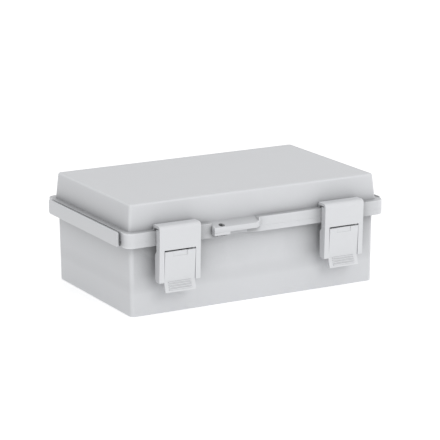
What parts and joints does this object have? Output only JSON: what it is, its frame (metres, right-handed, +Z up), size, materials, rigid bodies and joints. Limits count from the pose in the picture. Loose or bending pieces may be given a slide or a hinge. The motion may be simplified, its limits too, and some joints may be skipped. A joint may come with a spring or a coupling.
{
  "type": "hinged polycarbonate enclosure",
  "caption": "Rectangular light grey polycarbonate box with a hinged lid, draw latches on the front, a padlock tab, end guards on the rim and an inner mounting plate.",
  "frame": {"origin": "centre of the base's flat underside", "axes": "+Z up, +X along the length towards the right end as seen from the latch side, +Y from the latches towards the hinges"},
  "size_m": [0.2674, 0.1822, 0.1004],
  "materials": {
    "shell": "fine moulded texture, satin",
    "latch": "fine moulded texture, satin",
    "seal": "foamed polyurethane, matt",
    "plate": "galvanised sheet, satin",
    "steel": "stainless, satin",
    "brass": "turned brass"
  },
  "bodies": {
    "base_body": {"base": "shell", "mounting_plate": "plate", "plate_screws": "steel", "threaded_inserts": "brass", "hinge_pin_left": "steel", "hinge_pin_right": "steel", "lever_pin_left": "steel", "lever_pin_right": "steel"},
    "lid_body": {"lid": "shell", "gasket": "seal"},
    "lever_left": {"latch_lever_left": "latch", "link_pin_left": "steel"},
    "lever_right": {"latch_lever_right": "latch", "link_pin_right": "steel"},
    "hook_left": {"latch_hook_left": "latch"},
    "hook_right": {"latch_hook_right": "latch"}
  },
  "joints": [
    {"name": "lid_hinge", "type": "hinge", "parent": "base_body", "child": "lid_body", "pos_m": [0, 0.0876, 0.0688], "axis": [-1, 0, 0], "range_deg": [0, 110]},
    {"name": "lever_left_pivot", "type": "hinge", "parent": "base_body", "child": "lever_left", "pos_m": [-0.0827, -0.083, 0.0546], "axis": [-1, 0, 0], "range_deg": [0, 110]},
    {"name": "lever_right_pivot", "type": "hinge", "parent": "base_body", "child": "lever_right", "pos_m": [0.0827, -0.083, 0.0546], "axis": [-1, 0, 0], "range_deg": [0, 110]},
    {"name": "hook_left_pivot", "type": "hinge", "parent": "lever_left", "child": "hook_left", "pos_m": [-0.0827, -0.0833, 0.0372], "axis": [1, 0, 0], "range_deg": [0, 143]},
    {"name": "hook_right_pivot", "type": "hinge", "parent": "lever_right", "child": "hook_right", "pos_m": [0.0827, -0.0833, 0.0372], "axis": [1, 0, 0], "range_deg": [0, 143]}
  ],
  "couplings": [
    {"joint": "lever_left_pivot", "follows": "lid_hinge", "ratio": 1},
    {"joint": "lever_right_pivot", "follows": "lid_hinge", "ratio": 1},
    {"joint": "hook_left_pivot", "follows": "lid_hinge", "ratio": 1.3},
    {"joint": "hook_right_pivot", "follows": "lid_hinge", "ratio": 1.3}
  ]
}
